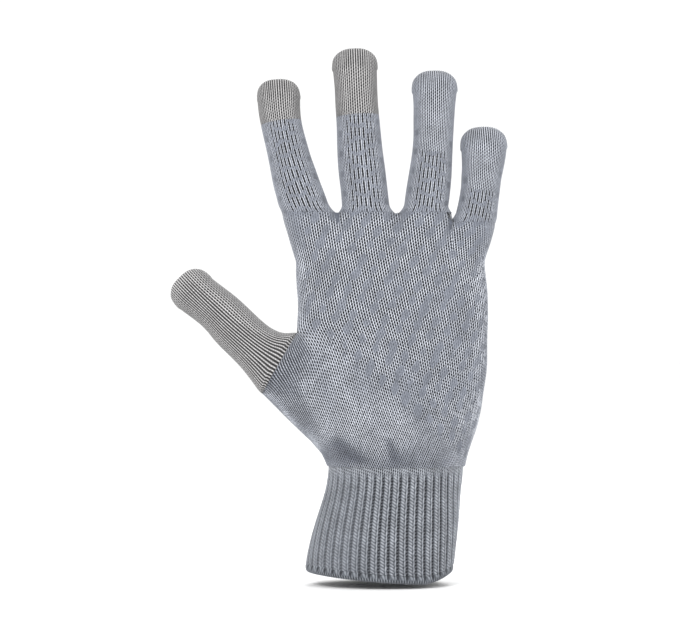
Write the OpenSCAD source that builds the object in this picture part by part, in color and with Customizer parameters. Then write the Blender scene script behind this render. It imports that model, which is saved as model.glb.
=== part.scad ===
// A right-hand knitted glove in the shape it has on a hand: ribbed cuff, knitted hand,
// four fingers and a thumb, all hollow. The back of the hand faces -Y, the fingers point
// up +Z, and the thumb is on the -X side. Z = 0 is the mouth of the cuff.

/* [Fabric] */
// Thickness of the knitted wall
fabric_t = 1.6; // [1.2:0.1:1.8]
// Thickness of the overlocked edge at the mouth
hem_t = 2.3; // [2.0:0.1:2.8]
// Height of the overlocked edge
hem_h = 3.6; // [2.5:0.1:5]
// Elastic threads laid round the inside of the cuff
elastic_count = 6; // [3:1:8]
// Thickness of one elastic thread
elastic_d = 0.7; // [0.5:0.1:1]

/* [Cuff] */
// Height of the ribbed cuff, from the mouth to the wrist
cuff_h = 52.5; // [50:0.5:55]
// Width of the mouth
mouth_w = 68; // [66:1:74]
// Depth of the mouth, front to back
mouth_d = 49; // [44:1:52]
// Width at the wrist, where the cuff is tightest
wrist_w = 63; // [60:1:66]
// Depth at the wrist
wrist_d = 42; // [38:1:44]
// How far the wrist stands over towards the little finger
wrist_lean = 7.8; // [6:0.2:9]
// How much higher the mouth's edge is at its sides than in the middle of front and back
edge_rise = 4.5; // [0:0.5:6]

/* [Hand] */
// Height of the soft gathered band that bends at the wrist
gather_h = 24.5; // [23:0.5:26]
// Height of the crotch between thumb and hand
thumb_web_z = 119; // [117:1:121]
// Height at which the index, middle and ring fingers leave the hand
finger_root_z = 168.5; // [167:0.5:170]
// How much lower the little finger leaves it
little_drop = 4.5; // [3:0.5:6]
// Thickness of the hand at the foot of the fingers
root_d = 21.5; // [20:0.5:23]

/* [Digits] */
// How deep a finger is for its width
finger_flatness = 0.87; // [0.8:0.01:0.92]
// How far the fingertips curl towards the palm
finger_curl = 5; // [0:1:8]
// How far the thumb tip stands towards the palm
thumb_curl = 13; // [8:1:16]
// Clear slit between two sections that meet
slit = 0.2; // [0.1:0.05:0.3]

/* [Hidden] */
SIDES = 24;            // points round a plain section
LOBE_STEPS = 6;        // steps across one finger's share of the hand's top edge
NECK = 2.6;            // half thickness of the hand in a crotch between two fingers
WEB_DROP = 1.5;        // how far a crotch lies below the feet of its fingers
RING_STEP = 4.5;       // greatest distance between two sections of a digit
EPS = 0.5;             // how far an inside space runs past its open end
REACH = 200;           // more than the glove measures in any direction
SHEET_T = 0.01;        // thickness of a section drawn as a thin slice
DIGIT_NAMES = ["thumb", "index", "middle", "ring", "little"];
SECTION_NAMES = ["root", "stall", "knuckle", "tip"];

// Yarns
BASE_YARN = [0.50, 0.53, 0.58];
TOUCH_YARN = [0.56, 0.56, 0.55];
HEM_YARN = [0.42, 0.44, 0.48];
ELASTIC_YARN = [0.80, 0.80, 0.78];

// Fields of a digit: the three points of its centreline (a quadratic curve), its half widths
// at WIDTHS_AT along that curve, and where along it the root passes to the stall, the stall to
// the knuckle and the knuckle to the tip.
CURVE = 0;
HALF_WIDTHS = 1;
CUTS = 2;
WIDTHS_AT = [0, 0.25, 0.5, 0.8, 1];
DOME = 0.96;           // height of a rounded end, for its half width
DOME_ANGLES = [18, 36, 54, 70, 82];   // where its sections are, from its foot to its top

// A finger from foot x, foot z to the top of its rounded end, bowed sideways
function finger(foot, top, bow, widths, cuts) =
    let (start = [foot[0], 0, foot[1]], end = [top[0], finger_curl, top[1] - DOME * widths[4]])
    [[start, (start + end) / 2 + [2 * bow, -finger_curl / 4, 0], end], widths, cuts];
DIGITS = [
    [[[-45.6, 2, 99.5], [-63.1, 6, 109.9], [-85.3, thumb_curl, 132.1]],
     [16.5, 12.2, 10.7, 9.6, 10.0], [0.32, 0.48, 0.78]],
    finger([-33.4, finger_root_z], [-46.8, 230.3], -2.4,
           [11.7, 10.4, 9.6, 9.3, 9.9], [0.28, 0.42, 0.79]),
    finger([-6.1, finger_root_z], [-11.2, 244.5], -0.7,
           [11.7, 10.6, 10.0, 9.7, 10.2], [0.23, 0.37, 0.67]),
    finger([20.8, finger_root_z], [25.2, 234.4], 1.4,
           [10.6, 9.8, 9.2, 9.3, 10.4], [0.26, 0.40, 0.68]),
    finger([44.1, finger_root_z - little_drop], [47.7, 208.3], 1.3,
           [9.7, 8.9, 9.1, 9.5, 10.5], [0.38, 0.52, 0.88]),
];

function unit(v) = v / norm(v);
function mix(a, b, t) = a + (b - a) * t;
function ease(t) = let (c = min(1, max(0, t))) c * c * (3 - 2 * c);

// A point on a quadratic curve, and its direction there
function on_curve(p, t) = (1 - t) * (1 - t) * p[0] + 2 * t * (1 - t) * p[1] + t * t * p[2];
function along_curve(p, t) = unit((1 - t) * (p[1] - p[0]) + t * (p[2] - p[1]));

// An oval section: centre c, facing direction d, half width rw across and half depth rd
function oval(c, d, rw, rd) =
    let (across = unit(cross([0, 1, 0], d)), deep = cross(d, across))
    [for (i = [0:SIDES - 1])
        let (a = 360 * i / SIDES) c + rw * cos(a) * across + rd * sin(a) * deep];

// ---- solids from sections ----

// Triangles between section k and the next, n points each, turned inside out for an inner wall
function wall(first, k, n, inward) = [
    for (j = [0:n - 1])
        let (a = first + k * n + j, b = first + k * n + (j + 1) % n, c = b + n, d = a + n)
        each inward ? [[a, b, c], [a, c, d]] : [[a, c, b], [a, d, c]]];

// The rim between an outer and an inner section, seen from the far end if far
function rim(outer, inner, n, far) = [
    for (j = [0:n - 1])
        let (k = (j + 1) % n)
        each far ? [[outer + j, inner + k, outer + k], [outer + j, inner + j, inner + k]]
                 : [[outer + j, outer + k, inner + k], [outer + j, inner + k, inner + j]]];

function flat(rings) = [for (r = rings) each r];

// A hollow tube from its outer and its inner sections
module tube(outer, inner) {
    last = len(outer) - 1;
    n = len(outer[0]);
    start = (last + 1) * n;
    polyhedron(
        points = concat(flat(outer), flat(inner)),
        faces = concat(
            [for (k = [0:last - 1]) each wall(0, k, n, false)],
            [for (k = [0:last - 1]) each wall(start, k, n, true)],
            rim(0, start, n, false),
            rim(last * n, start + last * n, n, true)));
}

// The same, closed at its far end by a point on each wall
module thimble(outer, outer_top, inner, inner_top) {
    last = len(outer) - 1;
    n = len(outer[0]);
    start = (last + 1) * n + 1;
    inner_end = start + (last + 1) * n;
    polyhedron(
        points = concat(flat(outer), [outer_top], flat(inner), [inner_top]),
        faces = concat(
            [for (k = [0:last - 1]) each wall(0, k, n, false)],
            [for (j = [0:n - 1]) [last * n + j, start - 1, last * n + (j + 1) % n]],
            [for (k = [0:last - 1]) each wall(start, k, n, true)],
            [for (j = [0:n - 1])
                [start + last * n + j, start + last * n + (j + 1) % n, inner_end]],
            rim(0, start, n, false)));
}

// ---- digits ----

// Half width of a digit at t along its curve
function digit_half(i, t) =
    lookup(t, [for (k = [0:4]) [WIDTHS_AT[k], DIGITS[i][HALF_WIDTHS][k]]]);

// A digit's section faces along its curve. A finger's first one is level, as the hand's top is.
function digit_axis(i, t) =
    let (d = along_curve(DIGITS[i][CURVE], t))
    i == 0 ? d : unit(mix([0, 0, 1], d, ease(t / 0.2)));

// Half depth: a finger starts as thick as the hand is there
function digit_depth(i, t) =
    let (round_depth = digit_half(i, t) * finger_flatness)
    i == 0 ? round_depth * mix(0.9, 1, ease(t / 0.3)) : mix(root_d / 2, round_depth, ease(t / 0.25));

function digit_ring(i, t, inset) =
    oval(on_curve(DIGITS[i][CURVE], t), digit_axis(i, t),
         digit_half(i, t) - inset, digit_depth(i, t) - inset);

// The rounded end: sections that shrink towards the top, at angle a from 0 to 90
function dome_height(i, inset) = DOME * digit_half(i, 1) - inset;
function dome_ring(i, a, inset) =
    let (shrink = pow(cos(a), 0.85))
    oval(on_curve(DIGITS[i][CURVE], 1) + dome_height(i, inset) * sin(a) * digit_axis(i, 1),
         digit_axis(i, 1), (digit_half(i, 1) - inset) * shrink, (digit_depth(i, 1) - inset) * shrink);
function dome_top(i, inset) =
    on_curve(DIGITS[i][CURVE], 1) + dome_height(i, inset) * digit_axis(i, 1);

// Length of a digit's curve, near enough to place a slit
function curve_length(i) = let (p = DIGITS[i][CURVE]) norm(p[1] - p[0]) + norm(p[2] - p[1]);
function section_start(i, s) = (s == 0 ? 0 : DIGITS[i][CUTS][s - 1]) + slit / curve_length(i);
function section_end(i, s) = s == 3 ? 1 : DIGITS[i][CUTS][s] - slit / curve_length(i);
function section_rings(i, s, inset) =
    let (a = section_start(i, s), b = section_end(i, s),
         steps = ceil((b - a) * curve_length(i) / RING_STEP))
    [for (k = [0:steps]) digit_ring(i, mix(a, b, k / steps), inset)];
function tip_rings(i, inset) =
    concat(section_rings(i, 3, inset), [for (a = DOME_ANGLES) dome_ring(i, a, inset)]);

module digit_section(i, s) {
    if (s == 3)
        thimble(tip_rings(i, 0), dome_top(i, 0), tip_rings(i, fabric_t), dome_top(i, fabric_t));
    else
        tube(section_rings(i, s, 0), section_rings(i, s, fabric_t));
}

// ---- cuff ----

// A section of the cuff. Near the mouth its sides are higher than its front and back.
function cuff_ring(z, inset) =
    let (up = z / cuff_h, f = ease(up), half = mix(mouth_w, wrist_w, f) / 2 - inset,
         centre = [wrist_lean * up, 0, z])
    [for (p = oval(centre, [0, 0, 1], half, mix(mouth_d, wrist_d, f) / 2 - inset))
        p + [0, 0, edge_rise * (1 - up) * pow((p[0] - centre[0]) / half, 2)]];

module cuff_tube(from, to, steps, outset, thickness) {
    tube([for (k = [0:steps]) cuff_ring(mix(from, to, k / steps), -outset)],
         [for (k = [0:steps]) cuff_ring(mix(from, to, k / steps), thickness - outset)]);
}

module cuff_rib() {
    color(BASE_YARN) cuff_tube(hem_h + slit, cuff_h - slit, 7, 0, fabric_t);
}

module cuff_hem() {
    color(HEM_YARN) cuff_tube(0, hem_h, 1, (hem_t - fabric_t) / 2, hem_t);
}

// Threads that hug the inside of the cuff, evenly spaced up it
module cuff_elastic() {
    outer_face = fabric_t + 0.15;
    color(ELASTIC_YARN)
        for (k = [1:elastic_count]) {
            z = hem_h + (cuff_h - hem_h) * k / (elastic_count + 1);
            ends = [z - elastic_d / 2, z + elastic_d / 2];
            tube([for (e = ends) cuff_ring(e, outer_face)],
                 [for (e = ends) cuff_ring(e, outer_face + elastic_d)]);
        }
}

// ---- hand ----

PALM_LEVELS = [88, 98, 108];   // heights of its sections beside the thumb
NARROWEST_Z = 146;             // above the thumb it is narrowest here
FLARE_Z = 155;                 // and here it has begun to widen towards the fingers

// The hand's own section at some heights, without the thumb from the gather's top up: x of its
// centre, half width and half depth
HAND = [
    [cuff_h, [wrist_lean, wrist_w / 2, wrist_d / 2]],
    [mix(cuff_h, cuff_h + gather_h, 0.4), [6.4, 35.4, 20.6]],
    [mix(cuff_h, cuff_h + gather_h, 0.75), [3.4, 41, 20]],
    [cuff_h + gather_h, [1.2, 44.8, 19.5]],
    [PALM_LEVELS[0], [4.4, 43.3, 18.6]],
    [thumb_web_z, [6.2, 43.3, 15.6]],
    [NARROWEST_Z, [5.1, 43.1, 14.2]],
    [FLARE_Z, [5.0, 45.6, 13.4]],
    [finger_root_z, [4.3, 49.2, 12.4]],
];
function hand_field(z, f) = lookup(z, [for (row = HAND) [row[0], row[1][f]]]);
function hand_ring(z, inset) =
    oval([hand_field(z, 0), 0, z], [0, 0, 1], hand_field(z, 1) - inset, hand_field(z, 2) - inset);

module wrist_gather() {
    from = cuff_h + slit;
    to = cuff_h + gather_h - slit;
    color(BASE_YARN)
        tube([for (k = [0:5]) hand_ring(mix(from, to, k / 5), 0)],
             [for (k = [0:5]) hand_ring(mix(from, to, k / 5), fabric_t)]);
}

// A thin slice of a section, and a solid through a row of sections
module slice(ring) {
    n = len(ring);
    up = unit(cross(ring[1] - ring[0], ring[round(n / 3)] - ring[0])) * SHEET_T;
    polyhedron(
        points = concat(ring, [for (p = ring) p + up]),
        faces = concat(
            [[for (j = [n - 1:-1:0]) j]],
            [[for (j = [0:n - 1]) n + j]],
            [for (j = [0:n - 1]) let (k = (j + 1) % n) each [[j, k, n + k], [j, n + k, n + j]]]));
}
module loft(rings) {
    for (k = [0:len(rings) - 2])
        hull() {
            slice(rings[k]);
            slice(rings[k + 1]);
        }
}

// The mass at the foot of the thumb, from inside the palm out to the thumb's first section:
// centre, direction, half width and half depth of two sections on the way
GUSSET = [
    [[-16, 0.6, 83], unit([-0.5, 0.05, 0.86]), 26, 17.8],
    [[-33, 1.4, 92.5], unit([-0.8, 0.12, 0.58]), 20.5, 16.2],
];
function gusset_rings(inset) = concat(
    [for (g = GUSSET) oval(g[0], g[1], g[2] - inset, g[3] - inset)],
    [digit_ring(0, 0, inset)]);
function moved(ring, by) = [for (p = ring) p + by];

module lower_hand_mass(inset, past) {
    bottom = cuff_h + gather_h + slit;
    top = thumb_web_z - slit;
    loft([for (z = concat(bottom - past, PALM_LEVELS, top + past)) hand_ring(z, inset)]);
    rings = gusset_rings(inset);
    loft([rings[0], rings[1], moved(rings[2], digit_axis(0, 0) * (past - SHEET_T))]);
}

module lower_hand() {
    bottom = cuff_h + gather_h + slit;
    color(BASE_YARN) difference() {
        intersection() {
            lower_hand_mass(0, 0);
            translate([-REACH / 2, -REACH / 2, bottom])
                cube([REACH, REACH, thumb_web_z - slit - bottom]);
        }
        lower_hand_mass(fabric_t, EPS);
    }
}

// The hand's top edge is drawn from finger to finger: foot k's angles run from the crotch on
// its thumb side to the crotch on its other side, and the outer two run on to the hand's edges.
function foot_angles(k, inset) =
    let (neck = asin((NECK - inset) / (root_d / 2 - inset)),
         a = k == 1 ? 0 : neck, b = k == 4 ? 180 : 180 - neck)
    [for (j = [0:LOBE_STEPS]) mix(a, b, j / LOBE_STEPS)];
function foot_points(k, inset) =
    let (foot = DIGITS[k][CURVE][0], half = digit_half(k, 0) - inset, angles = foot_angles(k, inset))
    [for (j = [LOBE_STEPS:-1:0])
        let (in_crotch = (j == 0 && k > 1) || (j == LOBE_STEPS && k < 4))
        [foot[0] - half * cos(angles[j]), (root_d / 2 - inset) * sin(angles[j]),
         foot[2] - slit - (in_crotch ? WEB_DROP : 0)]];
function mirrored(half_ring) =
    concat(half_ring, [for (j = [len(half_ring) - 2:-1:1])
        let (p = half_ring[j]) [p[0], -p[1], p[2]]]);
function top_edge(inset) = mirrored([for (k = [4:-1:1]) each foot_points(k, inset)]);

// A section of the upper hand: oval at f = 0, the top edge at f = 1
function upper_ring(z, f, inset) =
    let (edge = top_edge(inset), left = edge[4 * LOBE_STEPS + 3][0], right = edge[0][0],
         half = hand_field(z, 1) - inset, depth = hand_field(z, 2) - inset)
    [for (p = edge)
        let (u = mix(-1, 1, (p[0] - left) / (right - left)),
             side = depth * sqrt(max(0, 1 - u * u)) * sign(p[1]))
        [mix(hand_field(z, 0) + half * u, p[0], f), mix(side, p[1], f), f == 1 ? p[2] : z]];

// Height of each section of the upper hand, and how far it has turned into the top edge
UPPER = [
    [thumb_web_z + slit, 0],
    [132, 0],
    [145, 0.08],
    [154, 0.3],
    [162, 0.7],
    [finger_root_z, 1],
];
module upper_hand() {
    color(BASE_YARN)
        tube([for (l = UPPER) upper_ring(l[0], l[1], 0)],
             [for (l = UPPER) upper_ring(l[0], l[1], fabric_t)]);
}

// Index and middle finger end in touch-screen yarn, and the thumb is all of it
function section_yarn(i, s) = i == 0 || (s == 3 && i <= 2) ? TOUCH_YARN : BASE_YARN;

cuff_rib();
cuff_hem();
cuff_elastic();
wrist_gather();
lower_hand();
upper_hand();
for (i = [0:4], s = [0:3])
    color(section_yarn(i, s)) digit_section(i, s);
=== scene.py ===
"""A right-hand knitted glove, worn shape: every stretch of knit is a shell whose outer face
carries its stitches as real relief. Lengths are millimetres until a mesh is made."""

import bpy
import math
import numpy as np
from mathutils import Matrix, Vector


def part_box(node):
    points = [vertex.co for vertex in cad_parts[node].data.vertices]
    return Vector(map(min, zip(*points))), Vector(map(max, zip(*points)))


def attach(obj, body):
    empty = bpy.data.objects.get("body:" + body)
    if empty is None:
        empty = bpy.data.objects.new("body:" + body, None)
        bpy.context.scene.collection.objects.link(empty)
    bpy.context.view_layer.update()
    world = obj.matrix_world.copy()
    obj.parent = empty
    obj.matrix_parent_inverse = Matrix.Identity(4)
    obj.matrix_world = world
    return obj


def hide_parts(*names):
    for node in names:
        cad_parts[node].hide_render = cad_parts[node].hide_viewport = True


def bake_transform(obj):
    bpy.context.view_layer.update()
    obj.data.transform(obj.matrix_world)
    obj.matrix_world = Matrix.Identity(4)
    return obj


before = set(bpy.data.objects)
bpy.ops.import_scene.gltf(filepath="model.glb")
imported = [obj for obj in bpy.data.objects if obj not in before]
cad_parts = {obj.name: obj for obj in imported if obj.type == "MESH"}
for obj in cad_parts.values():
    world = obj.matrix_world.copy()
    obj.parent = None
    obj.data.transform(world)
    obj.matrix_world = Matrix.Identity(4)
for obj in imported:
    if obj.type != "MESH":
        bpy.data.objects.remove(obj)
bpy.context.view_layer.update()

MM = 0.001
WALL = 1.3            # thickness of the knit below its stitches
GRAIN = 0.31          # distance between two rows of points
PER_WALE = 12         # points across one wale of a digit
ROW_GROUP = 4         # outer rows to one inner row
COURSE = 1.4          # height of one stitch
RELIEF = 0.5          # from the bottom of a gap to the top of the yarn
HALF_RIBS = 21        # ribs across the back of the cuff
FUZZ = 0.50           # height of knit whose holes are filled by fuzz
INSIDE = 0.45         # the same, for the inner face, which has no stitches


def mix(a, b, t):
    return a + (b - a) * t


def ease(t):
    c = np.clip(t, 0.0, 1.0)
    return c * c * (3.0 - 2.0 * c)


def unit(v):
    v = np.asarray(v, float)
    return v / np.linalg.norm(v, axis=-1, keepdims=True)


def bell(x, middle, half_width):
    return np.exp(-(((x - middle) / half_width) ** 2))


def soft_noise(p, size, seed):
    """Smooth noise of about -1 to 1 at points p, with features about size wide."""
    rng = np.random.default_rng(seed)
    total = np.zeros(p.shape[:-1])
    for _ in range(7):
        wave = unit(rng.normal(size=3)) * rng.uniform(0.6, 1.5) * math.pi / size
        total += np.sin(p @ wave + rng.uniform(0.0, 2.0 * math.pi))
    return total * 0.35


def box_mm(node):
    low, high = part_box(node)
    return np.array(low) / MM, np.array(high) / MM


# ---- the knit: height of the stitches, 0 in a gap and 1 on top of the yarn ----

def jersey(u, v, contrast=1.0, slot=0.0):
    """Plain knit: two legs to a wale, a hole beside each stitch and one within it, half a course
    apart. Where contrast is low, fuzz fills the holes; where slot is 1 those between the wales
    join into slits and those within them close."""
    column = np.round(2.0 * u)
    across = 2.0 * u - column
    up = (v + 0.5 * column + 0.5) % 1.0 - 0.5
    leg = ease((np.abs(across) - 0.05) / 0.4)
    far_leg = np.where(across > 0.0, 0.75, 1.0)
    body = 0.44 + 0.42 * leg * far_leg
    hole_width = mix(0.46, 0.68, slot)
    hole_height = mix(0.375, 0.85, slot)
    away = np.hypot(across / hole_width, up / hole_height)
    holed = 1.0 - slot * (column % 2.0)
    stitch = body * mix(1.0, ease((away - 0.45) / 0.5), holed)
    return FUZZ + (stitch - FUZZ) * contrast


def open_gaps(height, u, v, amount):
    """Part the legs of every wale, leaving one slack thread across each course."""
    leg = 2.0 * u
    off = np.abs(leg % 1.0 - 0.5)
    gap = ease((off - 0.13) / 0.13)
    thread = 0.2 * bell((v + 0.4 * (leg - np.round(leg))) % 1.0, 0.5, 0.2)
    lit = 0.86 - 2.2 * off ** 2 + 0.12 * np.cos(2.0 * math.pi * v)
    return mix(height, mix(lit, thread, gap), amount)


def weave(u, v, stray):
    """1 where the stitches are close: bands four wales apart that rise to the right, crossed
    faintly by their mirror image and by rows four courses apart. Each stitch is wholly close or
    open. stray makes the bands uneven."""
    column = np.round(2.0 * u)
    wale = 0.5 * column
    row = np.round(v + 0.5 * column) - 0.5 * column
    turn = 2.0 * math.pi
    rising = np.cos(turn * (wale / 4.0 - row / 8.0))
    falling = np.cos(turn * (wale / 4.0 + row / 8.0))
    level = rising + 0.4 * falling
    level += 0.35 * np.cos(turn * row / 4.0) + stray
    return ease((level - 0.1) / 0.5)


def dashes(u, v):
    """1 between the short slits on a finger, which come in blocks three or four wales wide and
    three courses tall, each block two courses above or below its neighbours."""
    turn = 2.0 * math.pi
    wale = np.round(u)
    block = np.sign(np.cos(turn * wale / 7.0))
    uneven = 0.10 * np.sin(0.55 * v + 1.7 * wale)
    return ease((np.cos(turn * (v / 4.5 + 0.25 * block + uneven)) - 0.4) / 0.4)


def rib(u, v):
    """One rib to each whole u: a twisted pair of wales, a fine bright one and a dark furrow."""
    across = u % 1.0
    pair = np.sqrt(np.clip(1.0 - ((across - 0.29) / 0.29) ** 2, 0.0, 1.0))
    strand = 0.5 + 0.5 * np.cos(2.0 * math.pi * (v + 2.0 * across))
    single = np.sqrt(np.clip(1.0 - ((across - 0.67) / 0.09) ** 2, 0.0, 1.0))
    in_furrow = 0.5 * bell(across, 0.87, 0.09) * (0.5 + 0.5 * np.cos(2.0 * math.pi * (v + 0.3)))
    return np.maximum(np.maximum(pair * (0.38 + 0.62 * strand), single * 0.9), in_furrow)


# ---- meshes ----

def weld(points):
    """Give points that coincide one number: (unique points, number of each grid point, where
    in the flat grid each unique point first stands)."""
    flat = points.reshape(-1, 3)
    _, first, number = np.unique(np.round(flat, 4), axis=0, return_index=True, return_inverse=True)
    return flat[first], number.reshape(points.shape[:2]), first


def cells(ids):
    """The four corners of each cell of a grid."""
    corners = [ids[:-1, :-1], ids[:-1, 1:], ids[1:, 1:], ids[1:, :-1]]
    return np.stack(corners, axis=-1).reshape(-1, 4)


def drop_repeats(polygons):
    """Cells that weld to a triangle or less become triangles or go."""
    kept = []
    for p in polygons:
        q = [a for k, a in enumerate(p) if a != p[k - 1]]
        if len(set(q)) == len(q) and len(q) > 2:
            kept.append(q)
    return kept


def split_cells(quads):
    """(the cells with four different corners, what is left of the others)."""
    good = np.ones(len(quads), bool)
    for a in range(4):
        for b in range(a + 1, 4):
            good &= quads[:, a] != quads[:, b]
    return quads[good], drop_repeats(quads[~good].tolist())


def point_normals(points, quads):
    a, b, c, d = (points[quads[:, k]] for k in range(4))
    face = np.cross(c - a, d - b)
    normals = np.zeros_like(points)
    for k in range(4):
        np.add.at(normals, quads[:, k], face)
    length = np.linalg.norm(normals, axis=1, keepdims=True)
    return normals / np.maximum(length, 1e-9)


def new_object(name, points, quads, polygons, values):
    """A mesh object in metres; values are attributes at its points."""
    mesh = bpy.data.meshes.new(name)
    sizes = np.concatenate([np.full(len(quads), 4), [len(p) for p in polygons]]).astype(np.int32)
    loops = np.concatenate([quads.ravel(), [i for p in polygons for i in p]]).astype(np.int32)
    mesh.vertices.add(len(points))
    mesh.vertices.foreach_set("co", (points * MM).astype(np.float32).ravel())
    mesh.loops.add(len(loops))
    mesh.loops.foreach_set("vertex_index", loops)
    mesh.polygons.add(len(sizes))
    starts = np.concatenate([[0], np.cumsum(sizes)[:-1]]).astype(np.int32)
    mesh.polygons.foreach_set("loop_start", starts)
    mesh.polygons.foreach_set("use_smooth", np.ones(len(sizes), bool))
    mesh.update(calc_edges=True)
    mesh.validate()
    for key, data in values.items():
        kind, field = ("FLOAT_VECTOR", "vector") if data.ndim == 2 else ("FLOAT", "value")
        layer = mesh.attributes.new(key, kind, "POINT")
        layer.data.foreach_set(field, data.astype(np.float32).ravel())
    obj = bpy.data.objects.new(name, mesh)
    bpy.context.scene.collection.objects.link(obj)
    return obj


def outer_rim(outer, inner, group, forward):
    """Polygons that join a fine edge to the coarse one behind it."""
    rim = []
    for k in range(len(inner) - 1):
        run = list(outer[k * group:(k + 1) * group + 1])
        back = [inner[k + 1], inner[k]]
        rim.append(run + back if forward else (run + back)[::-1])
    return rim


def knit_shell(name, grid, height, depth, tone=None, hole=None, closed_end=False):
    """A shell from a grid of points on the glove's surface. height, 0 to 1 at each grid point,
    lifts the outer face by depth and colours it, unless tone does, as painted shade low down and
    painted light on top; the inner face is coarse. hole is a range of rows whose first and last columns
    don't meet."""
    points, ids, first = weld(grid)
    quads, odd = split_cells(cells(ids))
    normals = point_normals(points, quads)
    lift = ((height - 0.5) * depth).ravel()[first]
    outer = points + normals * lift[:, None]
    yarn = (height if tone is None else tone).ravel()[first]
    coarse = ids[::ROW_GROUP, ::PER_WALE]
    used, inner_ids = np.unique(coarse, return_inverse=True)
    inner_ids = inner_ids.reshape(coarse.shape) + len(points)
    inner = points[used] - normals[used] * WALL
    inner_quads, inner_odd = split_cells(cells(inner_ids)[:, ::-1])
    polygons = odd + inner_odd
    polygons += outer_rim(ids[0], inner_ids[0], PER_WALE, False)
    if not closed_end:
        polygons += outer_rim(ids[-1], inner_ids[-1], PER_WALE, True)
    if hole is not None:
        fine = slice(hole[0], hole[1] + 1)
        inner_rows = slice(hole[0] // ROW_GROUP, hole[1] // ROW_GROUP + 1)
        polygons += outer_rim(ids[fine, 0], inner_ids[inner_rows, 0], ROW_GROUP, True)
        polygons += outer_rim(ids[fine, -1], inner_ids[inner_rows, -1], ROW_GROUP, False)
    values = {
        "yarn": np.concatenate([yarn, np.full(len(inner), INSIDE)]),
        "rest": np.concatenate([points, inner]) * MM,
    }
    return new_object(name, np.concatenate([outer, inner]), np.concatenate([quads, inner_quads]),
                      drop_repeats(polygons), values)


# ---- materials ----

def yarn_material(name, dark, mid, light, blotch, sheen):
    """Spun yarn: gaps painted dark, as painted shade over the darker inner yarn that shows through,
    tops painted lit, flecks of melange and fine fibres. blotch is how much its colour varies from place
    to place."""
    mat = bpy.data.materials.new(name)
    mat.use_nodes = True
    nodes, links = mat.node_tree.nodes, mat.node_tree.links
    shader = nodes["Principled BSDF"]
    yarn = nodes.new("ShaderNodeAttribute")
    yarn.attribute_name = "yarn"
    place = nodes.new("ShaderNodeAttribute")
    place.attribute_name = "rest"
    # painted light and shade: the ramp colours the yarn by the height of its stitches, dark in the gaps
    # as painted shade, light on the tops as painted light
    ramp = nodes.new("ShaderNodeValToRGB")
    ramp.color_ramp.elements[0].color = (*dark, 1.0)
    ramp.color_ramp.elements[0].position = 0.08
    ramp.color_ramp.elements[1].color = (*light, 1.0)
    ramp.color_ramp.elements[1].position = 0.95
    ramp.color_ramp.elements.new(0.5).color = (*mid, 1.0)
    links.new(yarn.outputs["Fac"], ramp.inputs["Fac"])

    def noise(scale, detail):
        node = nodes.new("ShaderNodeTexNoise")
        node.inputs["Scale"].default_value = scale
        node.inputs["Detail"].default_value = detail
        links.new(place.outputs["Vector"], node.inputs["Vector"])
        return node

    def swing(source, low, high):
        node = nodes.new("ShaderNodeMapRange")
        node.inputs["From Min"].default_value = 0.3
        node.inputs["From Max"].default_value = 0.7
        node.inputs["To Min"].default_value = low
        node.inputs["To Max"].default_value = high
        links.new(source.outputs["Fac"], node.inputs["Value"])
        return node

    fleck = swing(noise(900.0, 3.0), 0.82, 1.16)
    patch = swing(noise(150.0, 2.0), 1.0 - blotch, 1.0 + blotch)
    both = nodes.new("ShaderNodeMath")
    both.operation = "MULTIPLY"
    links.new(fleck.outputs["Result"], both.inputs[0])
    links.new(patch.outputs["Result"], both.inputs[1])
    tint = nodes.new("ShaderNodeVectorMath")
    tint.operation = "SCALE"
    links.new(ramp.outputs["Color"], tint.inputs[0])
    links.new(both.outputs["Value"], tint.inputs["Scale"])
    links.new(tint.outputs["Vector"], shader.inputs["Base Color"])
    rough = swing(noise(1400.0, 2.0), 0.82, 0.98)
    links.new(rough.outputs["Result"], shader.inputs["Roughness"])
    fibre = nodes.new("ShaderNodeBump")
    fibre.inputs["Strength"].default_value = 0.35
    fibre.inputs["Distance"].default_value = 0.0002
    links.new(noise(2600.0, 4.0).outputs["Fac"], fibre.inputs["Height"])
    links.new(fibre.outputs["Normal"], shader.inputs["Normal"])
    shader.inputs["Sheen Weight"].default_value = sheen
    shader.inputs["Sheen Roughness"].default_value = 0.6
    shader.inputs["Specular IOR Level"].default_value = 0.2
    return mat


# Each yarn: its colour in the gaps (painted shade over the darker inner yarn), halfway up and on top
# (painted light), its blotch and its sheen
BASE = yarn_material(
    "base_yarn", (0.011, 0.012, 0.016), (0.142, 0.155, 0.188), (0.63, 0.655, 0.71), 0.12, 0.3)
TOUCH = yarn_material(
    "touch_yarn", (0.010, 0.009, 0.010), (0.128, 0.126, 0.127), (0.62, 0.61, 0.61), 0.06, 0.3)
CUFF = yarn_material(
    "cuff_yarn", (0.012, 0.013, 0.017), (0.140, 0.151, 0.172), (0.42, 0.44, 0.48), 0.14, 0.2)
HEM = yarn_material(
    "hem_yarn", (0.010, 0.011, 0.014), (0.110, 0.119, 0.136), (0.28, 0.30, 0.33), 0.14, 0.1)
ELASTIC = yarn_material(
    "elastic_thread", (0.06, 0.06, 0.065), (0.20, 0.21, 0.23), (0.38, 0.39, 0.42), 0.04, 0.1)


def settle(piece, material, node):
    """Give a piece its material and slot, and hide the CAD node it stands for."""
    piece.data.materials.append(material)
    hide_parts(node)


# ---- digits ----

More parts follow.
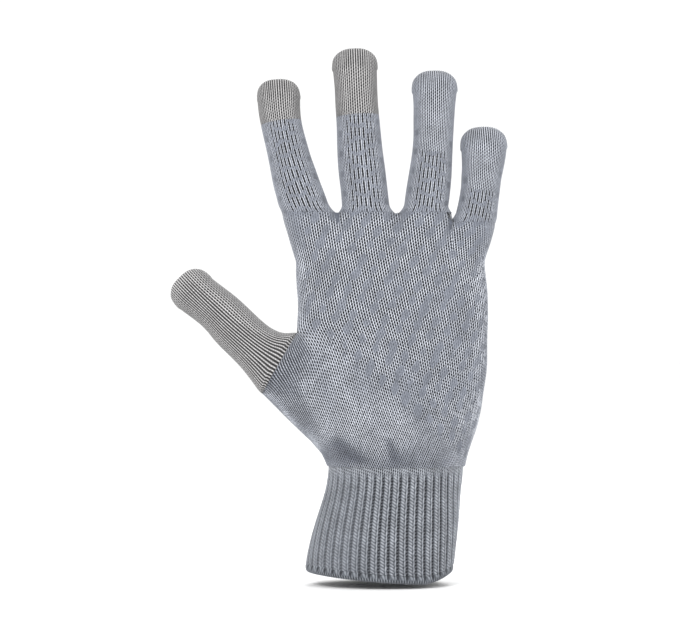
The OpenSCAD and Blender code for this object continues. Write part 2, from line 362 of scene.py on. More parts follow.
ROOT_Z = 168.5        # where index, middle and ring finger leave the hand
LITTLE_Z = 164.0      # and the little finger
ROOT_HALF_DEPTH = 10.75
FLATNESS = 0.87       # a digit's depth over its width
CURL = 5.0            # how far a fingertip lies to the palm's side of its foot
DOME = 0.96           # height of a closed end over the half width below it
TIP_WALES = 29        # wales round a fingertip; below it the knit is drawn in closer
CAP_POWER = 2.7       # squareness of a closed end
TUCK = 2.6            # how far a digit's foot reaches inside the hand
SECTIONS = ["root", "stall", "knuckle", "tip"]
TIP = 3
TOUCH_FINGERS = ("index", "middle")
OPEN_STRIP_ENDS = {"index": 0.80, "middle": 0.68, "ring": 0.50, "little": 0.42}
BLOTCH_PITCH = 9.1
HALVES_AT = [0.0, 0.15, 0.3, 0.45, 0.6, 0.75, 0.9, 1.0]


def finger_curve(foot, top, bow, end_half):
    """Centreline of a finger as three control points. foot and top are (x, z); bow bends its
    middle towards high x; end_half is the half width below its closed end."""
    start = np.array([foot[0], 0.0, foot[1]])
    end = np.array([top[0], CURL, top[1] - DOME * end_half])
    return [start, (start + end) / 2 + np.array([2 * bow, -CURL / 4, 0.0]), end]


# Per digit: centreline; half widths at HALVES_AT on its low and on its high x side; cuts between
# its sections; wales round it
DIGITS = {
    "thumb": ([np.array(p) for p in ((-45.6, 2.0, 99.5), (-63.1, 6.0, 109.9), (-85.3, 13.0, 132.1))],
              [16.5, 13.6, 11.5, 10.6, 10.0, 8.4, 9.2, 10.4],
              [16.5, 12.2, 11.0, 11.2, 11.7, 11.8, 10.8, 10.0], [0.32, 0.48, 0.78], 28),
    "index": (finger_curve((-33.4, ROOT_Z), (-46.8, 230.3), -2.4, 9.9),
              [11.2, 10.3, 9.6, 8.4, 8.1, 8.6, 9.1, 9.1],
              [11.7, 11.2, 11.2, 10.6, 10.4, 9.9, 10.0, 10.5], [0.28, 0.42, 0.79], 33),
    "middle": (finger_curve((-6.1, ROOT_Z), (-11.2, 244.5), -0.7, 10.2),
               [10.7, 10.1, 10.4, 10.0, 9.5, 9.7, 9.4, 10.1],
               [11.2, 11.1, 11.0, 10.4, 10.2, 10.1, 10.1, 10.2], [0.23, 0.37, 0.67], 33),
    "ring": (finger_curve((20.8, ROOT_Z), (25.2, 234.4), 1.4, 10.4),
             [9.7, 9.8, 9.6, 9.2, 8.9, 9.2, 9.3, 9.7],
             [10.6, 10.4, 10.0, 9.4, 9.2, 9.3, 9.8, 10.8], [0.26, 0.40, 0.68], 33),
    "little": (finger_curve((44.1, LITTLE_Z), (47.7, 208.3), 1.3, 10.5),
               [10.1, 9.7, 9.6, 9.4, 9.6, 9.5, 9.7, 9.7],
               [9.4, 8.8, 8.5, 8.5, 8.6, 9.5, 10.5, 11.1], [0.38, 0.52, 0.88], 33),
}


# 1 where a digit spreads into a web at its foot, on its low x and its high x side
WEBS = {"thumb": (0, 0), "index": (0, 1), "middle": (1, 1), "ring": (1, 1), "little": (1, 0)}
WEB = 1.9             # how far it spreads
WEB_RUN = 4.0         # and over what height


class Digit:
    """A tube of knit along a curve, with a closed end, built in four sections."""

    def __init__(self, name):
        self.name = name
        self.curve, self.low, self.high, self.cuts, self.wales = DIGITS[name]
        self.is_thumb = name == "thumb"
        self.webs = WEBS[name]
        self.length = sum(np.linalg.norm(b - a) for a, b in zip(self.curve, self.curve[1:]))
        self.angles = np.linspace(0.0, 2.0 * math.pi, self.wales * PER_WALE + 1)
        self.cosine = np.cos(self.angles)
        self.sine = np.sin(self.angles)
        self.on_back = (self.sine < 0.0)[None, :]
        self.u = self.angles / (2.0 * math.pi) * self.wales

    def at(self, t):
        """Centre at t, 0 at the foot and 1 below the closed end."""
        a, b, c = self.curve
        return (1 - t) ** 2 * a + 2 * t * (1 - t) * b + t * t * c

    def half(self, t, side=0):
        """Half width at t, on the low side (-1), on the high side (1) or the mean of both."""
        near = t + np.linspace(-0.06, 0.06, 7)
        low = float(np.mean(np.interp(near, HALVES_AT, self.low)))
        high = float(np.mean(np.interp(near, HALVES_AT, self.high)))
        return {-1: low, 0: (low + high) / 2, 1: high}[side]

    def reach(self, t, inset=0.0):
        """How far each point of a section lies across from the centreline."""
        return self.cosine * (np.where(self.cosine > 0.0, self.half(t, 1), self.half(t, -1)) - inset)

    def axis(self, t):
        """Direction of the digit at t. A finger leaves the hand straight up."""
        a, b, c = self.curve
        d = unit((1 - t) * (b - a) + t * (c - b))
        if self.is_thumb:
            return d
        return unit(mix(np.array([0.0, 0.0, 1.0]), d, float(ease(t / 0.2))))

    def depth(self, t):
        """Half depth at t. At its foot a finger is as deep as the hand's edge."""
        rounded = self.half(t) * FLATNESS
        if self.is_thumb:
            return rounded * mix(0.9, 1.0, float(ease(t / 0.3)))
        return mix(ROOT_HALF_DEPTH, rounded, float(ease(t / 0.25)))

    def frame_at(self, t):
        """(centre, along, across towards high x, across towards the palm) of the section at t."""
        d = self.axis(t)
        across = unit(np.cross([0.0, 1.0, 0.0], d))
        return self.at(t), d, across, np.cross(d, across)

    def ring(self, t, inset=0.0, slide=0.0):
        """One section, made smaller by inset and moved along the digit by slide."""
        centre, d, across, deep = self.frame_at(t)
        depth = self.depth(t) - inset
        spread = WEB * (1.0 - min(1.0, t * self.length / WEB_RUN)) ** 2
        webbed = np.where(self.cosine > 0.0, self.webs[1], self.webs[0]) * spread * self.cosine
        return (centre + slide * d + np.outer(self.reach(t, inset) + webbed, across)
                + np.outer(self.sine, deep) * depth)

    def cap_row(self, b):
        """The closed end at angle b, 0 at its foot and a right angle at the seam over the top. Its
        outline is a superellipse, squarer than a half circle."""
        centre, d, across, deep = self.frame_at(1.0)
        sine = np.where(np.abs(self.sine) < 1e-9, 0.0, self.sine)
        outline = (1.0 - np.abs(self.cosine) ** CAP_POWER).clip(0.0) ** (1.0 / CAP_POWER)
        outline[sine == 0.0] = 0.0
        rise = DOME * self.half(1.0) * outline * math.sin(b)
        at_seam = b > 1.5707
        inward = 0.0 if at_seam else math.cos(b) ** 0.8
        return (centre + np.outer(self.reach(1.0), across)
                + np.outer(sine, deep) * self.depth(1.0) * inward + np.outer(rise, d))

    def span(self, s):
        """Where section s starts and ends."""
        return self.cuts[s - 1] if s else 0.0, self.cuts[s] if s < TIP else 1.0

    def section(self, s):
        """Grid of section s and the length along the digit at each of its points."""
        start, end = self.span(s)
        groups = max(1, math.ceil((end - start) * self.length / (GRAIN * ROW_GROUP)))
        steps = np.linspace(start, end, groups * ROW_GROUP + 1)
        rows = [self.ring(t) for t in steps]
        run = [np.full(len(self.angles), t * self.length) for t in steps]
        if s == 0:
            tucked = np.linspace(TUCK, 0.0, 2 * ROW_GROUP, endpoint=False)
            rows = [self.ring(0.0, inset=0.5, slide=-k) for k in tucked] + rows
            run = [np.full(len(self.angles), -k) for k in tucked] + run
        if s == TIP:
            arc = 0.5 * (DOME * self.half(1.0) + self.depth(1.0))
            for b in np.linspace(0.0, math.pi / 2, 10 * ROW_GROUP + 1)[1:]:
                rows.append(self.cap_row(b))
                run.append(self.length + arc * b * np.abs(np.sin(self.angles)))
        return np.array(rows), np.array(run)

    def openness(self, run):
        """How far the gaps within wales stand open, on the back of the thumb and of every cap."""
        aside = np.abs(self.cosine)[None, :]
        if self.is_thumb:
            up = ease(run / (0.6 * self.length))
            aside = np.abs(self.cosine[None, :] + 0.18 * up)
            below_end = ease((self.length + 7.0 - run) / 8.0)
            return ease((mix(0.92, 0.56, up) - aside) / 0.12) * self.on_back * below_end
        return 0.6 * ease((run - self.length + 2.0) / 4.0) * ease((0.8 - aside) / 0.2) * self.on_back

    def open_strip(self, u, v, run):
        """The strip of slits up a finger's back: (1 inside it, how close-knit each place is)."""
        if self.is_thumb:
            return 0.0 * run, 0.0 * run
        end = OPEN_STRIP_ENDS[self.name] * self.length
        within = ease((0.74 - np.abs(self.cosine[None, :] - 0.05)) / 0.14)
        return within * self.on_back * ease((end - run) / 1.5), dashes(u, v)

    def blotches(self, run):
        """Close-knit spots down both sides of a finger, seen from its back."""
        turn = 2.0 * math.pi * run / BLOTCH_PITCH
        low = bell(self.cosine[None, :], -0.84, 0.07) * ease((np.cos(turn) - 0.45) / 0.3)
        high = bell(self.cosine[None, :], 0.88, 0.06) * ease((-np.cos(turn) - 0.45) / 0.3)
        return (low + high) * self.on_back * ease((0.72 * self.length - run) / 3.0)

    def has_touch_tip(self, s):
        return s == TIP and self.name in TOUCH_FINGERS

    def relief(self, run, s):
        """Height of the stitches over section s. They are fainter at the sides and at the foot."""
        v = run / COURSE
        touch_tip = self.has_touch_tip(s)
        coarser = TIP_WALES / self.wales if touch_tip else 1.0
        u = np.broadcast_to(self.u[None, :], run.shape) * coarser
        off_middle = np.abs(self.cosine)[None, :]
        strip, close = self.open_strip(u, v, run)
        contrast = mix(1.4, 0.6, ease((off_middle - 0.5) / 0.4))
        contrast = mix(contrast, mix(1.8, 0.4, close), strip)
        contrast = mix(0.5, contrast, ease(run / 2.0))
        slot = 0.0 if touch_tip or self.is_thumb else mix(0.1, 0.9 * (1.0 - close), strip)
        height = jersey(u, v, contrast, slot) * (0.94 if touch_tip else 1.0)
        height = open_gaps(height, u, v, self.openness(run))
        return height if self.is_thumb else mix(height, 0.36, 0.75 * self.blotches(run))

    def swell(self, run):
        """The closed end stands a little proud at its two corners."""
        past = (run - self.length) / self.half(1.0)
        corner = ease((np.abs(self.cosine)[None, :] - 0.55) / 0.45)
        proud = 0.25 if self.name == "index" else 0.5
        return proud * corner * ease((past + 0.12) / 0.16) * ease((0.95 - past) / 0.5)

    def flat_size(self, s, run):
        """Girth halfway along section s, and its length."""
        start, end = self.span(s)
        girth = math.pi * self.half(0.5 * (start + end)) * (1.0 + FLATNESS)
        return girth, float(run.max() - run.min())

    def build(self):
        """Four pieces: root and knuckle stay where they are, on no body, stall and tip each ride on one
        body.
        """
        pieces, sizes = [], []
        for s, section in enumerate(SECTIONS):
            grid, run = self.section(s)
            height = self.relief(run, s)
            bump = soft_noise(grid, 14.0, 5) * 0.12 * ease(run / 4.0)
            bump = bump + (self.swell(run) if s == TIP else 0.0)
            outward = unit(grid - grid[:, :-1].mean(axis=1, keepdims=True))
            grid = grid + bump[..., None] * outward * np.array([1.0, 0.6, 0.3])
            node = f"{self.name}_{section}"
            piece = knit_shell(node + "_knit", grid, height, RELIEF, closed_end=s == TIP)
            if self.is_thumb or self.has_touch_tip(s):
                settle(piece, TOUCH, node)
            else:
                settle(piece, BASE, node)
            sizes.append(self.flat_size(s, run))
            pieces.append(piece)
        root, stall, knuckle, tip = pieces
        lower, upper = f"{self.name}_lower", f"{self.name}_upper"
        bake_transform(root)
        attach(stall, lower)
        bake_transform(knuckle)
        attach(tip, upper)


# ---- hand ----

CUFF_TOP = box_mm("wrist_gather")[0][2] - 0.2
GATHER_TOP = box_mm("wrist_gather")[1][2] + 0.2
WEB_Z = box_mm("upper_hand")[0][2] - 0.2
THUMB = Digit("thumb")
FOOT, _, FOOT_ACROSS, _ = THUMB.frame_at(0.0)
NUB = FOOT - FOOT_ACROSS * THUMB.half(0.0)       # low end of the thumb's foot
CROTCH = FOOT + FOOT_ACROSS * THUMB.half(0.0)    # and its high end
HALF_COLUMNS = 384    # columns of points across the back of the hand, in whole wales

TOP_LEFT = DIGITS["index"][0][0][0] - DIGITS["index"][1][0]
TOP_RIGHT = DIGITS["little"][0][0][0] + DIGITS["little"][2][0]
LOBES_FROM = 146.0    # above this height the hand's top parts into an oval for each finger

# The hand's edge on the thumb's side below and above the thumb, its other edge, and its half
# thickness, as (z, value)
LEFT_BELOW = [(CUFF_TOP, -23.7), (58.0, -26.2), (64.0, -31.2), (70.0, -37.4), (77.0, -44.8),
              (NUB[2], NUB[0])]
LEFT_ABOVE = [(CROTCH[2], CROTCH[0]), (130.0, -37.2), (146.0, -38.0), (155.0, -40.6), (162.0, -42.6),
              (ROOT_Z, TOP_LEFT)]
RIGHT = [(CUFF_TOP, 39.3), (62.0, 42.0), (70.0, 44.4), (80.0, 47.2), (98.0, 49.2), (120.0, 50.1),
         (132.0, 49.4), (146.0, 48.4), (155.0, 50.6), (162.0, 52.2), (ROOT_Z, TOP_RIGHT)]
HALF_DEPTH = [(CUFF_TOP, 21.0), (62.0, 20.7), (77.0, 19.5), (98.0, 17.4), (119.0, 15.6), (146.0, 14.0),
              (ROOT_Z, 12.0)]


def table(rows, z, blur=2.5):
    """A value from a table at heights z, with its corners rounded."""
    heights, values = zip(*rows)
    steps = np.linspace(-blur, blur, 9)
    return np.mean([np.interp(z + k, heights, values) for k in steps], axis=0)


def left_edge(z):
    """The hand's edge on the thumb's side, straight across the thumb's foot."""
    below = np.interp(z, *zip(*LEFT_BELOW))
    above = np.interp(z, *zip(*LEFT_ABOVE))
    foot = mix(NUB[0], CROTCH[0], (z - NUB[2]) / (CROTCH[2] - NUB[2]))
    return np.where(z < NUB[2], below, np.where(z > CROTCH[2], above, foot))


def top_edge(x):
    """Height of the hand's top edge at x."""
    return ROOT_Z - (ROOT_Z - LITTLE_Z) * ease((x - 32.9) / 0.9)


def lobes(x):
    """Half depth of the hand's top edge at x: one oval to each finger, closed between them."""
    deep = np.zeros_like(x)
    for name in ("index", "middle", "ring", "little"):
        curve, low, high = DIGITS[name][:3]
        offset = x - curve[0][0]
        above = np.clip((top_edge(x) - curve[0][2]) / WEB_RUN, 0.0, 1.0)
        spread = WEB * (1.0 - above) ** 2
        half = np.where(offset > 0.0, high[0] + spread * WEBS[name][1], low[0] + spread * WEBS[name][0])
        deep = np.maximum(deep, ROOT_HALF_DEPTH * np.sqrt(np.clip(1.0 - (offset / half) ** 2, 0.0, 1.0)))
    return deep


def arc_lengths(half, depth, angles):
    """Length along an ellipse from the first of some angles to each."""
    steps = np.hypot(half * np.diff(np.cos(angles)), depth * np.diff(np.sin(angles)))
    return np.concatenate([[0.0], np.cumsum(steps)])


def hand_grid(heights, top_from=None, half_columns=HALF_COLUMNS):
    """Sections of the hand at heights, without the thumb: points from the thumb's side over the
    back of the hand and home over the palm, and how far round each is, from 0 to 2. Above
    top_from the sections bend to end along the hand's top edge."""
    fine = np.linspace(0.0, math.pi, 241)
    rows, shares = [], []
    for z in heights:
        left, right = float(left_edge(z)), float(table(RIGHT, z))
        depth = float(table(HALF_DEPTH, z))
        along = (z - FOOT[2]) / (FOOT_ACROSS[2] * THUMB.half(0.0))
        open_half = THUMB.depth(0.0) * math.sqrt(max(0.0, 1.0 - along * along))
        shift = FOOT[1] * float(bell(along, 0.0, 1.8))
        centre, half = (left + right) / 2, (right - left) / 2
        arc = arc_lengths(half, depth, fine)
        share = np.linspace(0.0, 1.0, half_columns + 1)
        angle = np.interp(share * arc[-1], arc, fine)
        t = -np.cos(angle)
        fade = ((1.0 - t) / 2.0) ** 1.5
        bulge = np.sqrt(np.maximum(depth ** 2 * np.sin(angle) ** 2, 0.0) + (open_half * fade) ** 2)
        x = centre + half * t
        level = np.full_like(x, z)
        if top_from is not None and z > top_from:
            rise = (z - top_from) / (ROOT_Z - top_from)
            level = mix(top_from, top_edge(x), rise)
            closing = 1.0 - (1.0 - rise) ** 1.3
            bulge = np.sqrt(mix(bulge ** 2, lobes(mix(TOP_LEFT, TOP_RIGHT, (t + 1.0) / 2)) ** 2, closing))
        bulge[bulge < 1e-3] = 0.0
        if open_half == 0.0:
            bulge[0] = 0.0
        bulge[-1] = 0.0
        middle = shift * fade
        back = np.stack([x, middle - bulge, level], axis=-1)
        palm = np.stack([x, middle + bulge, level], axis=-1)[::-1]
        rows.append(np.concatenate([back, palm[1:]]))
        shares.append(np.concatenate([share, 1.0 + share[1:]]))
    return np.array(rows), np.array(shares)


def past_foot(x, z):
    """How far a place on the back lies inside the line across the thumb's foot."""
    base = np.array([CROTCH[0] - NUB[0], CROTCH[2] - NUB[2]])
    return ((x - NUB[0]) * base[1] - (z - NUB[2]) * base[0]) / np.linalg.norm(base)


def wale_angle(x, z):
    """How steeply the wales fall to the right at a place on the back, in radians. They leave the
    thumb nearly along it and soon turn down towards the wrist."""
    inside = past_foot(x, z)
    from_thumb = mix(34.0, 62.0, ease((inside + 2.0) / 20.0))
    in_hand = mix(mix(64.0, 78.0, ease((z - 65.0) / 40.0)), 82.0, ease((z - 135.0) / 30.0))
    above = ease((z - 106.0) / 16.0)
    past_thumb = above + (1.0 - above) * ease((inside - 14.0) / 26.0)
    return np.radians(mix(from_thumb, in_hand, past_thumb))


class StitchField:
    """Lays the wales and courses over the whole hand: of all fields, the one whose steps from
    point to point are nearest to the wanted spacing and direction."""

    def __init__(self):
        stops = [CUFF_TOP, NUB[2], CROTCH[2], ROOT_Z]
        parts = [np.linspace(a, b, round((b - a) / 2.4) + 1)[1:] for a, b in zip(stops, stops[1:])]
        self.heights = np.concatenate([[CUFF_TOP], *parts])
        grid, self.loop = hand_grid(self.heights, half_columns=26)
        self.loop = self.loop[0]
        rows, columns = grid.shape[:2]
        number = np.arange(rows * columns).reshape(rows, columns)
        palm = self.loop > 1.0
        x, z = grid[..., 0], np.broadcast_to(self.heights[:, None], (rows, columns))
        mirror = np.where(palm, -1.0, 1.0)[None, :]
        back_angle = wale_angle(x, z)
        right_angle = back_angle[:, columns // 2][:, None]
        palm_angle = mix(right_angle, math.pi - back_angle, ease(self.loop - 1.0))
        angle = np.where(palm, palm_angle, back_angle)
        spacing = mix(mix(1.75, 2.1, ease((z - 62.0) / 40.0)), 2.45, ease((z - 145.0) / 20.0))
        arc = np.linalg.norm(np.diff(grid, axis=1), axis=-1)
        rise = np.diff(z, axis=0)
        drift = np.diff(x, axis=0) * mirror
        steps = [
            (number[:, :-1], number[:, 1:], arc, 0.0 * arc, slice(None), slice(0, -1)),
            (number[:-1], number[1:], drift, rise, slice(0, -1), slice(None)),
        ]
        self.u = self.solve(steps, np.sin(angle) / spacing, np.cos(angle) / spacing, number, True)
        self.v = self.solve(steps, -np.cos(angle) / COURSE, np.sin(angle) / COURSE, number, False)

    def solve(self, steps, grad_a, grad_z, number, is_u):
        """Least squares for one of the two fields. grad_a and grad_z are its wanted slopes round
        the hand and up it; along the thumb's foot it has to meet the thumb's own."""
        count = number.size
        normal, right = np.zeros((count, count)), np.zeros(count)

        def want(pairs, value, weight):
            """Ask that the sum of factor times unknown over pairs is value."""
            for i, fi in pairs:
                np.add.at(right, i, weight * fi * value)
                for j, fj in pairs:
                    np.add.at(normal, (i, j), weight * fi * fj)

        for start, end, along_a, along_z, rows, columns in steps:
            step = grad_a[rows, columns] * along_a + grad_z[rows, columns] * along_z
            want([(start.ravel(), -1.0), (end.ravel(), 1.0)], step.ravel(), 1.0)
        first = number[:, 0]
        at_thumb = (self.heights >= NUB[2]) & (self.heights <= CROTCH[2])
        along = (self.heights[at_thumb] - FOOT[2]) / (FOOT_ACROSS[2] * THUMB.half(0.0))
        turned = np.arccos(np.clip(along, -1.0, 1.0)) / (2.0 * math.pi) * THUMB.wales
        want([(first[at_thumb], 1.0)], -turned if is_u else 0.0 * turned, 50.0)
        return np.linalg.solve(normal + 1e-9 * np.eye(count), right).reshape(number.shape)

    def at(self, heights, loop):
        """Wale and course numbers at every height and place round the loop."""
        found = []
        for field in (self.u, self.v):
            wide = np.array([np.interp(loop, self.loop, row) for row in field])
            found.append(np.array([np.interp(heights, self.heights, column) for column in wide.T]).T)
        return found


def crease(grid, start, end, width):
    """1 along a line from start to end, each (x, z), on the back of the hand."""
    a, b = np.array(start), np.array(end)
    flat = grid[..., [0, 2]]
    t = np.clip(((flat - a) @ (b - a)) / ((b - a) @ (b - a)), 0.0, 1.0)
    gap = np.linalg.norm(flat - (a + t[..., None] * (b - a)), axis=-1)
    return np.exp(-(gap / width) ** 2) * (grid[..., 1] < 0.0)


def wrist_folds(grid):
    """How deep each place lies in the three folds that run up from the cuff, 0 to 1."""
    deep = 0.7 * crease(grid, (-18.0, 63.0), (-6.0, 51.0), 4.0)
    narrow = 0.5 * crease(grid, (4.5, 64.0), (9.0, 50.0), 2.2)
    short = 0.35 * crease(grid, (-25.0, 58.0), (-21.0, 51.0), 2.6)
    return np.clip(deep + narrow + short, 0.0, 1.0) * ease((grid[..., 2] - CUFF_TOP) / 5.0)


def thumb_lines(u, x, z, on_back):
    """1 where the thumb's open wales run on into the hand, longest below the thumb."""
    inside = past_foot(x, z)
    from_thumb = ease((1.0 - u) / 2.0) * ease((u + 12.2) / 2.0) * ease((CROTCH[2] + 2.0 - z) / 4.0)
    below_thumb = 0.8 * ease((-4.0 - u) / 2.5) * ease((z - 62.0) / 8.0) * ease((34.0 - inside) / 12.0)
    return from_thumb * np.maximum(ease((17.0 - inside) / 11.0), below_thumb) * on_back


def side_notches(loop, z):
    """1 in the row of notches down the little finger's side of the back."""
    notches = bell(loop[None, :], 0.965, 0.01) * ease((np.cos(2.0 * math.pi * z / 5.1) - 0.4) / 0.4)
    return notches * ease((z - 85.0) / 20.0) * ease((160.0 - z) / 5.0)


def hand_piece(name, heights, top_from=None, hole=None):
    """One stretch of the hand: open mesh on the back above a slanting line, plain knit below it
    and on the palm, fuzzier at the sides and next to the fingers."""
    grid, loops = hand_grid(heights, top_from)
    loop = loops[0]
    u, v = FIELD.at(heights, loop)
    x, z = grid[..., 0], grid[..., 2]
    on_back = (loop < 1.0)[None, :]
    edge = np.minimum(loop, np.abs(1.0 - loop))[None, :]

    mesh_line = 112.0 - 0.85 * (x + 30.0)
    meshed = ease((z - mesh_line) / 5.0) * ease((edge - 0.02) / 0.04) * ease((x + 37.0) / 4.0) * on_back
    close = weave(u, v, 0.6 * soft_noise(grid, 5.0, 31))
    stretched = ease((z - LOBES_FROM) / 12.0) * ease((0.14 - edge) / 0.08)
    below_top = top_edge(x) - z
    contrast = mix(1.75, mix(2.0, 0.45, close), meshed) * mix(0.5, 1.0, ease(edge / 0.06))
    contrast = contrast * (1.0 - 0.6 * stretched)
    contrast = contrast * (1.0 + 0.25 * soft_noise(grid, 7.0, 3)) * mix(0.45, 1.0, ease(below_top / 3.5))

    folds = wrist_folds(grid)
    height = jersey(u, v, contrast, 0.25 * meshed)
    height = open_gaps(height, u, v, thumb_lines(u, x, z, on_back))
    height = mix(height, 0.2, 0.4 * side_notches(loop, z))
    # in the folds the stitches are flattened, and with them the colour is dulled to a mid grey, partly
    # painted shade
    height = mix(height, 0.42, 0.75 * folds)

    # painted shade: the hand's edge by the thumb is painted up to 22 per cent darker, where it turns away
    # from the light
    gusset_edge_shade = ease((0.07 - edge) / 0.06) * ease((-25.0 - x) / 8.0) * ease((100.0 - z) / 8.0)
    shaded = mix(0.8, 1.0, ease((z - CUFF_TOP) / 16.0)) * mix(0.94, 1.0, meshed)
    # painted shade: the folds' colour is darkened by up to a further 30 per cent, on top of their real
    # dent
    tone = height * (1.0 - 0.3 * folds) * (1.0 - 0.22 * gusset_edge_shade) * shaded

    within = ease((z - CUFF_TOP) / 4.0) * ease(below_top / 4.0)
    bump = soft_noise(grid, 16.0, 9) * 0.22 * within - 1.1 * folds
    outward = unit(np.stack([0.01 * (x - 5.0), 0.1 * grid[..., 1], 0.0 * z], axis=-1) + 1e-9)
    return knit_shell(name, grid + bump[..., None] * outward, height, RELIEF, tone, hole)


def levels(*stops):
    """Heights from stop to stop, about GRAIN apart, each stretch a whole number of row groups."""
    heights = [stops[0]]
    for low, high in zip(stops, stops[1:]):
        count = ROW_GROUP * max(1, round((high - low) / (GRAIN * ROW_GROUP)))
        heights += list(np.linspace(low, high, count + 1)[1:])
    return heights


def build_hand():
    gather = hand_piece("wrist_gather_knit", levels(CUFF_TOP, GATHER_TOP))
    settle(gather, BASE, "wrist_gather")
    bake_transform(gather)

    heights = levels(GATHER_TOP, NUB[2], CROTCH[2], WEB_Z)
    opening = (heights.index(NUB[2]), heights.index(CROTCH[2]))
    lower = hand_piece("lower_hand_knit", heights, hole=opening)
    settle(lower, BASE, "lower_hand")
    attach(lower, "hand")

    upper = hand_piece("upper_hand_knit", levels(WEB_Z, ROOT_Z), top_from=LOBES_FROM)
    settle(upper, BASE, "upper_hand")
    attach(upper, "hand")


# ---- cuff ----

HEM_TOP = box_mm("cuff_rib")[0][2] - 0.2
MOUTH = (34.0, 24.5)  # half width and half depth of the cuff at its open end
WRIST = (31.5, 21.0)  # and where it meets the hand
WAIST = 0.8           # how much the cuff is drawn in a little below the wrist
LEAN = 7.8            # how far the wrist lies to the side of the mouth
EDGE_RISE = 4.5       # how much higher the mouth's edge stands at its sides
RIB_DEPTH = 1.0
PER_RIB = 12          # points across one rib
ELASTIC_ROUNDS = 6
TWIST = 1.45          # ribs by which the ribs turn towards the thumb's side from mouth to wrist
LOW_AT = 0.62         # where across the mouth its edge hangs lowest, -1 to 1


def cuff_ring(z, count, outset=0.0):
    """One section of the cuff, its points an equal way apart from the thumb's side over the back
    and home. Near the mouth its sides stand higher than front and back."""
    up = z / CUFF_TOP
    f = float(ease(up))
    half = mix(MOUTH[0], WRIST[0], f) - WAIST * float(bell(up, 0.78, 0.25)) + outset
    depth = mix(MOUTH[1], WRIST[1], f) + outset
    fine = np.linspace(0.0, 2.0 * math.pi, 721)
    arc = arc_lengths(half, depth, fine)
    angle = np.interp(np.linspace(0.0, arc[-1], count + 1), arc, fine)
    x, y = -half * np.cos(angle), -depth * np.sin(angle)
    x[-1], y[-1] = x[0], y[0]
    s = x / half
    rise = np.where(s < LOW_AT, ((LOW_AT - s) / (1.0 + LOW_AT)).clip(0.0) ** 1.25,
                    ((s - LOW_AT) / (1.0 - LOW_AT)).clip(0.0) ** 1.6)
    return np.stack([x + LEAN * mix(up, f, 0.5), y, z + EDGE_RISE * (1.0 - up) * rise], axis=-1)


def cuff_contrast(x):
    """Ribs are flatter and fuzzier towards the thumb's side."""
    return mix(0.55, 1.0, ease((x + 18.0) / 22.0))


def build_cuff():
    """Ribs, with the hand's plain knit run into them at the top."""
    count = 2 * HALF_RIBS * PER_RIB
    heights = levels(HEM_TOP, CUFF_TOP)
    grid = np.array([cuff_ring(z, count, outset=-0.25) for z in heights])
    z = grid[..., 2]
    below_top = CUFF_TOP - z
    turned = TWIST * (1.0 - np.array(heights)[:, None] / CUFF_TOP)
    u = np.linspace(0.0, 2.0 * HALF_RIBS, count + 1) - turned
    fade = ease(below_top / 6.0)
    height = rib(u + 0.07 * fade * soft_noise(grid, 26.0, 21), z / COURSE)
    height = FUZZ + (height - FUZZ) * cuff_contrast(grid[..., 0])
    wale, course = FIELD.at([CUFF_TOP], np.linspace(0.0, 2.0, count + 1))
    plain = jersey(wale, course - below_top / COURSE, 1.3)
    height = mix(plain, height, ease((CUFF_TOP - 0.5 - z) / 5.0))
    depth = mix(RELIEF, RIB_DEPTH, fade)
    wobble = soft_noise(grid, 30.0, 23)[..., None] * np.array([0.25, 0.35, 0.0])
    tone = height * mix(1.12, 1.0, ease(below_top / 12.0))
    # painted shade: the ribs are painted up to 8 per cent darker towards the mouth, near the floor
    tone = tone * mix(0.92, 1.0, ease(z / 22.0))
    piece = knit_shell("cuff_rib_knit", grid + wobble * fade[..., None], height, depth, tone)
    settle(piece, CUFF, "cuff_rib")
    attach(piece, "cuff")


def roll(name, z, half_height, half_thick, inset, count, sides, wind):
    """A closed roll round the cuff at height z, inset from its outer face, of count by sides
    cells. wind gives the height of the yarn on it, 0 to 1, from how far round the cuff and how
    far round the roll each point is."""
    turns = np.linspace(0.0, 2.0 * math.pi, sides + 1)
    ring = cuff_ring(z, count, outset=-inset)
    outward = unit(ring - cuff_ring(z, count, outset=-inset - 5.0))
    around = np.linspace(0.0, 1.0, count + 1)
    rows, wound = [], []
    for phi in turns:
        yarn = wind(around, phi)
        swell = 1.0 + 0.25 * (yarn - 0.5)
        shaped = ring + outward * (half_thick * math.cos(phi) * swell)[:, None]
        shaped[:, 2] += half_height * math.sin(phi) * swell
        rows.append(shaped)
        wound.append(yarn)
    rows[-1], wound[-1] = rows[0], wound[0]
    points, ids, first = weld(np.array(rows))
    quads, odd = split_cells(cells(ids)[:, ::-1])
    values = {"yarn": np.array(wound).ravel()[first], "rest": points * MM}
    return new_object(name, points, quads, odd, values)


def overlock(around, phi):
    """The ribs run on over the edge, under slanted loops of thread that bind it."""
    ribbed = rib(2.0 * HALF_RIBS * around - TWIST, 0.5 * math.sin(phi) * np.ones_like(around))
    loops = 0.5 + 0.5 * np.cos(2.0 * math.pi * (150.0 * around + 0.16 * phi))
    under = ease((-math.sin(phi) + 0.1) / 0.5)
    return mix(0.15 + 0.75 * ribbed, 0.1 + 0.7 * loops, under)


def covered(around, phi):
    """A core of rubber with fine thread wound round it."""
    return 0.5 + 0.5 * np.cos(2.0 * math.pi * 320.0 * around + phi)


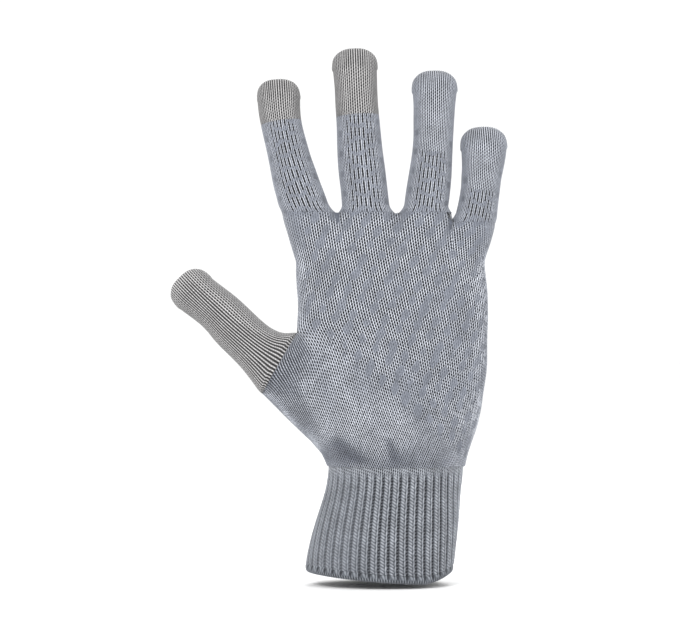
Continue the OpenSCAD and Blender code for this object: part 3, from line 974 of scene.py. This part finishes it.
def build_edges():
    hem = roll("cuff_hem_overlock", HEM_TOP / 2.0, half_height=HEM_TOP / 2.0 + 0.2, half_thick=1.15,
               inset=1.3, count=960, sides=20, wind=overlock)
    settle(hem, HEM, "cuff_hem")
    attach(hem, "cuff")
    for k in range(1, ELASTIC_ROUNDS + 1):
        z = HEM_TOP + (CUFF_TOP - HEM_TOP) * k / (ELASTIC_ROUNDS + 1)
        thread = roll(f"cuff_elastic_{k}", z, half_height=0.35, half_thick=0.35,
                      inset=2.1, count=640, sides=8, wind=covered)
        settle(thread, ELASTIC, "cuff_elastic")
        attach(thread, "cuff")


# ---- stage ----

def area_light(name, place, target, size, power):
    data = bpy.data.lights.new(name, "AREA")
    data.shape = "DISK"
    data.size = size
    data.energy = power
    light = bpy.data.objects.new(name, data)
    light.location = place
    light.rotation_euler = (Vector(target) - Vector(place)).to_track_quat("-Z", "Y").to_euler()
    bpy.context.scene.collection.objects.link(light)


def build_stage():
    scene = bpy.context.scene
    data = bpy.data.cameras.new("camera")
    data.lens = 138.5
    data.sensor_width = 36.0
    camera = bpy.data.objects.new("camera", data)
    camera.location = (-0.0179, -1.2, 0.1216)
    camera.rotation_euler = (math.pi / 2, 0.0, 0.0)
    scene.collection.objects.link(camera)
    scene.camera = camera

    mesh = bpy.data.meshes.new("floor")
    size, level = 6.0, -0.002
    corners = [(-size, -size, level), (size, -size, level), (size, size, level), (-size, size, level)]
    mesh.from_pydata(corners, [], [(0, 1, 2, 3)])
    floor = bpy.data.objects.new("floor", mesh)
    scene.collection.objects.link(floor)
    white = bpy.data.materials.new("floor_white")
    white.use_nodes = True
    shader = white.node_tree.nodes["Principled BSDF"]
    shader.inputs["Base Color"].default_value = (0.96, 0.96, 0.96, 1.0)
    shader.inputs["Roughness"].default_value = 0.9
    mesh.materials.append(white)

    world = bpy.data.worlds.new("studio")
    world.use_nodes = True
    background = world.node_tree.nodes["Background"]
    background.inputs["Color"].default_value = (1.0, 1.0, 1.0, 1.0)
    background.inputs["Strength"].default_value = 1.08
    scene.world = world
    scene.view_settings.view_transform = "Standard"
    middle = (0.0, 0.0, 0.12)
    area_light("key", (-0.5, -0.9, 0.9), middle, 0.5, 7.0)
    area_light("fill", (0.9, -0.7, 0.4), middle, 0.8, 3.0)
    area_light("back", (0.2, 1.0, 0.8), middle, 0.8, 5.0)


FIELD = StitchField()
build_stage()
build_cuff()
build_edges()
build_hand()
for digit_name in DIGITS:
    Digit(digit_name).build()
